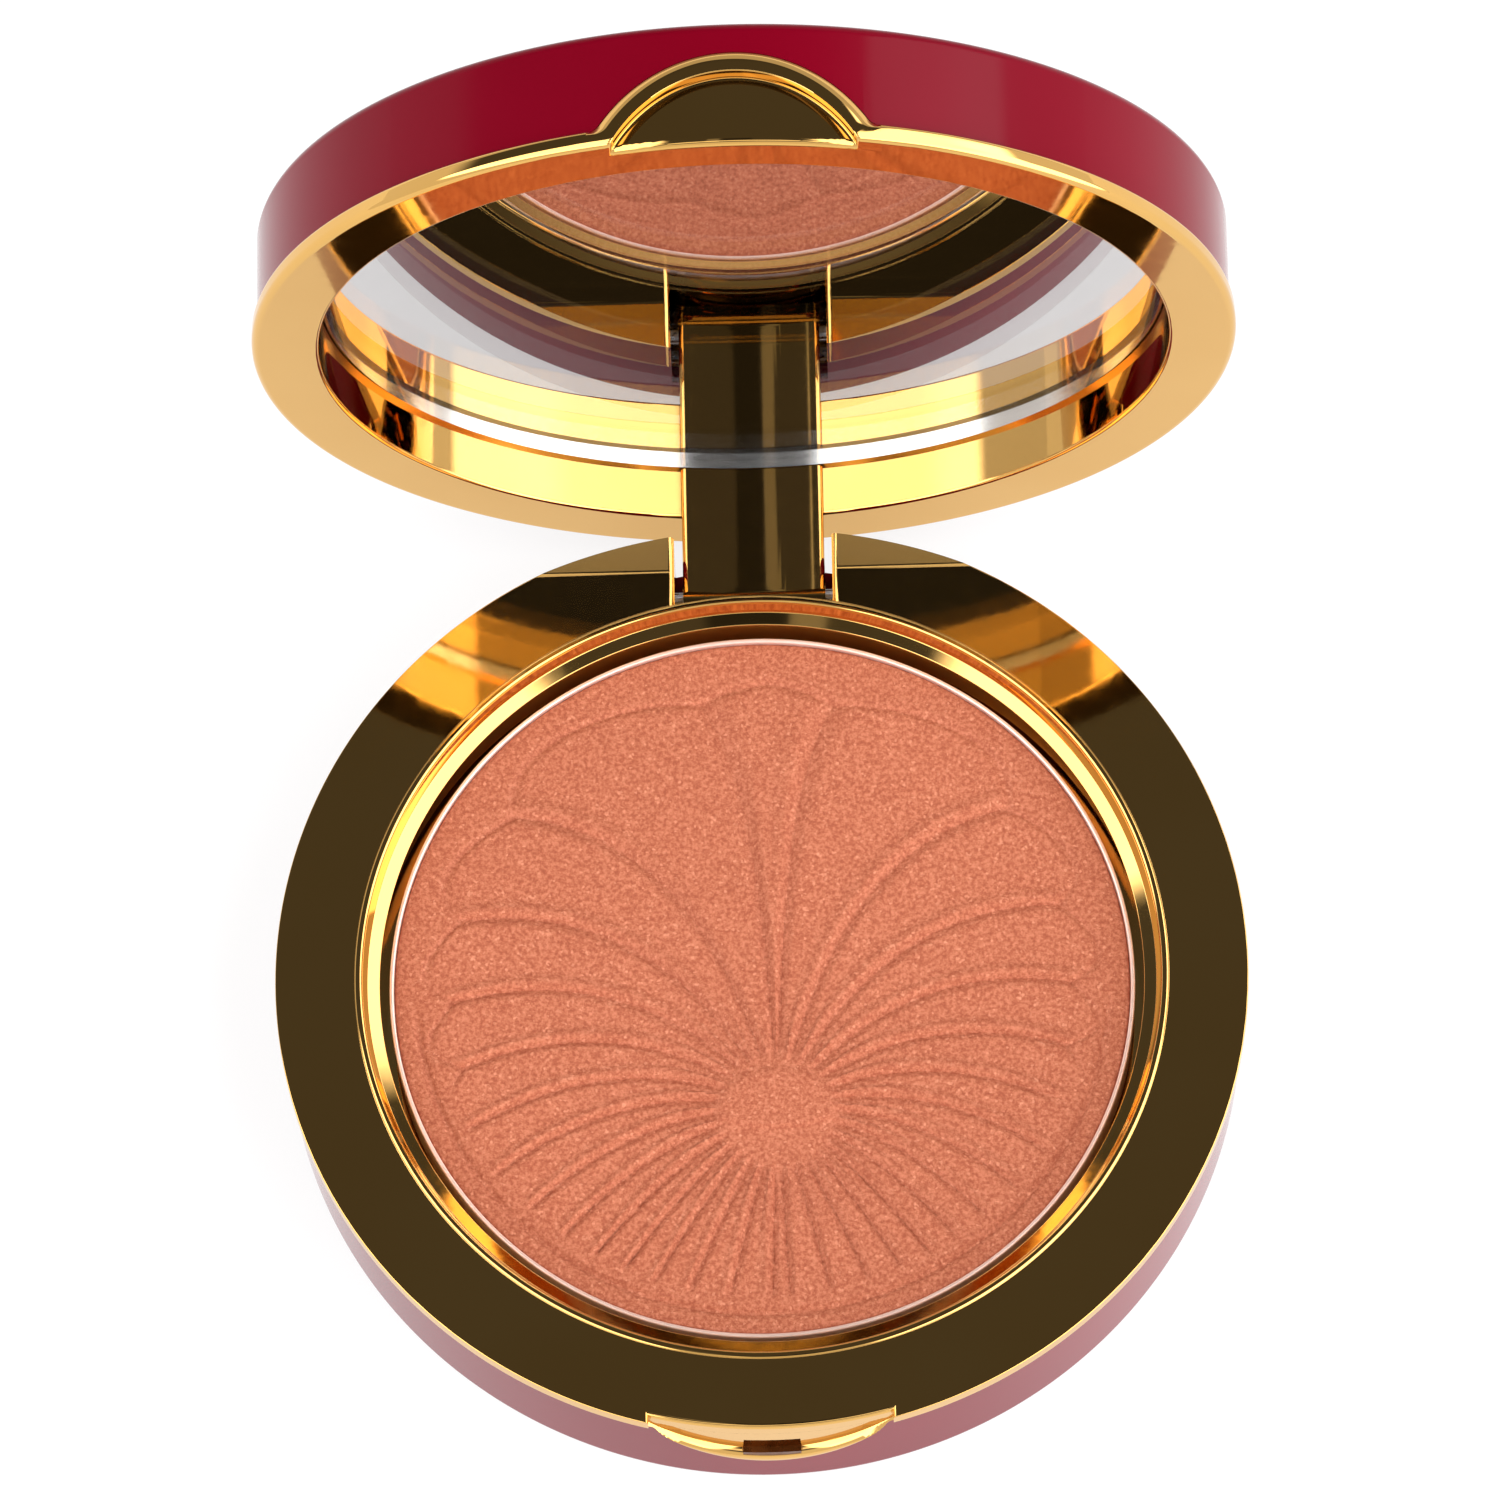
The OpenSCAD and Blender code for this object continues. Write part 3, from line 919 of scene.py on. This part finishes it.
def hinge_tongue():
    """The tongue that reaches from the lid's rim into the base, rolled round the pin."""
    obj = extrude("tongue", tongue_outline(AXIS_Y + KNUCKLE_R), AXIS_Z, LID_SEAM_Z - 0.1, 2)
    carve(obj, extrude("liner", tongue_outline(MOUTH_R + 0.4), LID_RIM_Z, GLASS_Z - 0.1, 2), "UNION")
    turn = np.linspace(0, 2 * math.pi, 72, endpoint=False)
    knuckle = np.column_stack([AXIS_Y + KNUCKLE_R * np.cos(turn), AXIS_Z + KNUCKLE_R * np.sin(turn)])
    return carve(obj, extrude("knuckle", knuckle, -TONGUE_HALF_W, TONGUE_HALF_W, 0), "UNION")


def lid_frame():
    """The gold frame of the lid, with the tongue that turns on the pin."""
    obj = lathe("lid_gold_frame", lid_frame_outline())
    carve(obj, hinge_tongue(), "UNION")
    carve(obj, pin_bore(TONGUE_HALF_W + OVER, PIN_R + 0.05))
    carve(obj, PLATE.cutter("plate", 0, INSERT_IN_R))
    merge_flats(obj)
    shade(obj)
    place(obj, "lid", [GOLD], ["lid_frame"])


def mirror():
    """Bevelled glass with a ground edge, silvered behind."""
    outline = [(0, GLASS_Z), (GLASS_SEEN_R - GLASS_BEVEL, GLASS_Z),
               (GLASS_SEEN_R, GLASS_Z + GLASS_BEVEL), (GLASS_SEEN_R, GLASS_BACK_Z), (0, GLASS_BACK_Z)]
    obj = lathe("bevelled_mirror", outline)
    for face in obj.data.polygons:
        if face.center.z > GLASS_BACK_Z * MM - 1e-6:
            face.material_index = 1
        elif abs(face.normal.z) < 0.9:
            face.material_index = 2
    shade(obj, 20)
    place(obj, "lid", [GLASS, SILVER, GLASS_EDGE], ["mirror"])


# --- CAD nodes that keep their own shape ----------------------------------------------------


def keep(node, material, edge=0.0):
    """Gives a CAD node its finish and, where an edge is given, bevels of that width."""
    obj = frame["nodes"][node]
    obj.data.materials.clear()
    obj.data.materials.append(material)
    if edge:
        bevel = obj.modifiers.new("edges", "BEVEL")
        bevel.width = edge * MM
        bevel.segments = 3
        bevel.limit_method = "ANGLE"


# --- Studio ---------------------------------------------------------------------------------

# The floor lies just clear of the flat underside; its size is in metres
FLOOR_GAP = 0.1
FLOOR_SIZE = 12.0
# The camera, in millimetres
LENS = 287.1
DISTANCE = 940.7
LOOK_AT = Vector((-0.535, 18.67, BASE_H))
ELEVATION = math.radians(68.44)
AZIMUTH = math.radians(1.86)
ROLL = math.radians(3.19)
# Brightness of the walls and of what hangs over them
WALL, CEILING = 0.95, 0.078
LAMP, STRIP, REFLECTOR, FLAG = 3.4, 1.3, 0.22, -0.05


def camera():
    """A long lens that looks down on the open compact, a little from its right."""
    back = Vector((math.sin(AZIMUTH) * math.cos(ELEVATION), -math.cos(AZIMUTH) * math.cos(ELEVATION),
                   math.sin(ELEVATION)))
    right = Vector((math.cos(AZIMUTH), math.sin(AZIMUTH), 0))
    up = back.cross(right)
    across = right * math.cos(ROLL) - up * math.sin(ROLL)
    upward = right * math.sin(ROLL) + up * math.cos(ROLL)
    data = bpy.data.cameras.new("camera")
    data.lens = LENS
    data.sensor_width = 36
    obj = bpy.data.objects.new("camera", data)
    obj.matrix_world = Matrix.Translation((LOOK_AT + back * DISTANCE) * MM) @ Matrix(
        (across, upward, back)).transposed().to_4x4()
    bpy.context.scene.collection.objects.link(obj)
    bpy.context.scene.camera = obj


def floor():
    """The plain floor that the compact stands on."""
    half = FLOOR_SIZE / 2 / MM
    z = -FLOOR_GAP
    points = [(-half, -half, z), (half, -half, z), (half, half, z), (-half, half, z)]
    obj = mesh_object("studio_floor", points, [(0, 1, 2, 3)])
    obj.data.materials.append(floor_material())


def studio_light():
    """Pale walls, a large soft lamp on each side, and a dark ceiling between and behind them."""
    world = bpy.data.worlds.new("studio")
    bpy.context.scene.world = world
    world.use_nodes = True
    tree = world.node_tree
    tree.nodes.clear()
    direction = add_node(tree, "ShaderNodeTexCoord").outputs["Generated"]
    axes = add_node(tree, "ShaderNodeSeparateXYZ", {0: direction}).outputs
    x, y, z = axes["X"], axes["Y"], axes["Z"]
    # The walls end lower in the far left quarter, and all is dimmer at the back
    far_left = product(tree, smooth_step(tree, x, 0.0, -0.2), smooth_step(tree, y, 0.15, 0.25))
    height = maths(tree, "MULTIPLY_ADD", far_left, 0.2, z)
    dimmed = smooth_step(tree, y, 0.5, 0.9, 1.0, 0.65)
    walls = product(tree, smooth_step(tree, height, 0.48, 0.62, WALL, CEILING), dimmed)
    # The lamps start well above the floor, but the right one reaches down at its front end
    reach = product(tree, smooth_step(tree, x, 0.5, 0.7), smooth_step(tree, y, 0.2, 0.1))
    over = smooth_step(tree, maths(tree, "MULTIPLY_ADD", reach, 0.34, z), 0.33, 0.4)
    # The right lamp's near edge leans outwards to the back, where its far side is faint
    lean = maths(tree, "MULTIPLY", maths(tree, "MAXIMUM", maths(tree, "ADD", y, 0.1), 0.0), 0.3)
    from_middle = maths(tree, "SUBTRACT", x, lean)
    far_side = smooth_step(tree, from_middle, 0.54, 0.44, 0.25, 1.0)
    right = product(
        tree, smooth_step(tree, from_middle, 0.27, 0.33), smooth_step(tree, y, 0.68, 0.56),
        maths(tree, "MAXIMUM", smooth_step(tree, y, 0.52, 0.44), far_side),
    )
    left = product(tree, smooth_step(tree, x, -0.26, -0.32), smooth_step(tree, y, 0.26, 0.2))
    lamps = product(tree, over, maths(tree, "ADD", right, left))
    # Between the lamps in front: a low strip, two faint reflectors and a black flag
    middle = product(tree, smooth_step(tree, y, 0.05, -0.1), smooth_step(tree, z, 0.62, 0.68))
    strip = product(tree, band(tree, y, -0.62, 0.09), band(tree, x, 0.0, 0.32), middle)
    reflectors = maths(tree, "ADD", band(tree, x, -0.09, 0.025), band(tree, x, 0.295, 0.03))
    flag = product(tree, band(tree, x, 0.0, 0.06), middle)
    light = maths(tree, "MULTIPLY_ADD", lamps, LAMP, walls)
    light = maths(tree, "MULTIPLY_ADD", strip, STRIP, light)
    light = maths(tree, "MULTIPLY_ADD", product(tree, reflectors, middle), REFLECTOR, light)
    light = maths(tree, "MAXIMUM", maths(tree, "MULTIPLY_ADD", flag, FLAG, light), 0.0)
    background = add_node(tree, "ShaderNodeBackground", {"Color": (1, 1, 1, 1), "Strength": light})
    add_node(tree, "ShaderNodeOutputWorld", {"Surface": background.outputs[0]})
    bpy.context.scene.view_settings.view_transform = "Standard"


# --- The compact ----------------------------------------------------------------------------

camera()
floor()
studio_light()

GOLD = gold_material()
LACQUER = lacquer_material()
POWDER = powder_material()
PAN = pan_material()
SILVER = silver_material()
GLASS = glass_material()
GLASS_EDGE = glass_edge_material()
ADHESIVE = adhesive_material()

base_shell()
base_frame()
base_thumb_scoop()
powder_pan()
pressed_powder()
lid_shell()
lid_frame()
lid_thumb_plate()
mirror()

keep("latch_catch", bronze_material(), 0.15)
keep("hinge_pin", steel_material())
keep("pan_adhesive", ADHESIVE)
keep("mirror_adhesive", ADHESIVE)
